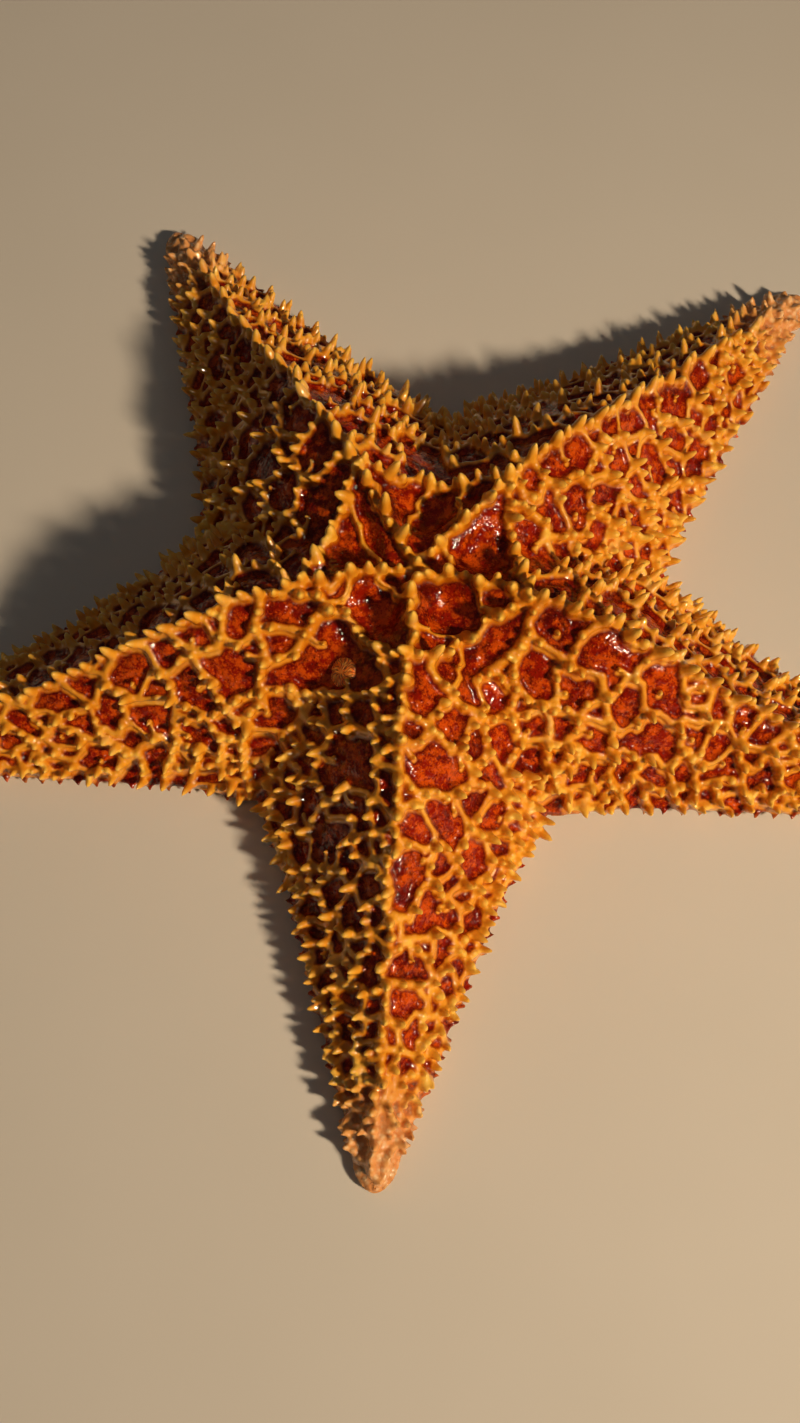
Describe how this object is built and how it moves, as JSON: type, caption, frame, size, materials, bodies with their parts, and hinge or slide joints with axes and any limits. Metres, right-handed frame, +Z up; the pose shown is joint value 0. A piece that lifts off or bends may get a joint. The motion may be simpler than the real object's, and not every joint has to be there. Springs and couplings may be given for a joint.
{
  "type": "starfish",
  "caption": "Cushion sea star at rest: a high domed disc and roof-shaped arms with blunt tips, netted with orange ridges and conical spines over dark red skin. Still model.",
  "frame": {"origin": "centre of the bounding box, on the floor that the star lies on", "axes": "+Z up out of the star's back; the arm that lies nearest -Y points a few degrees towards -X, and +Y points away from the viewer"},
  "size_m": [0.2868, 0.2772, 0.0532],
  "materials": {
    "skin": "wet gloss, orange-yellow ridges and spines over brick red skin",
    "arm_tip": "wet gloss, pale peach",
    "mouth_skin": "satin, pale tan",
    "sieve_plate": "satin, fine grooves"
  },
  "bodies": {
    "root": {"disc": "skin", "arm_1": "skin", "arm_2": "skin", "arm_3": "skin", "arm_4": "skin", "arm_5": "skin", "arm_tip_1": "arm_tip", "arm_tip_2": "arm_tip", "arm_tip_3": "arm_tip", "arm_tip_4": "arm_tip", "arm_tip_5": "arm_tip", "mouth": "mouth_skin", "sieve_plate": "sieve_plate"}
  },
  "joints": []
}
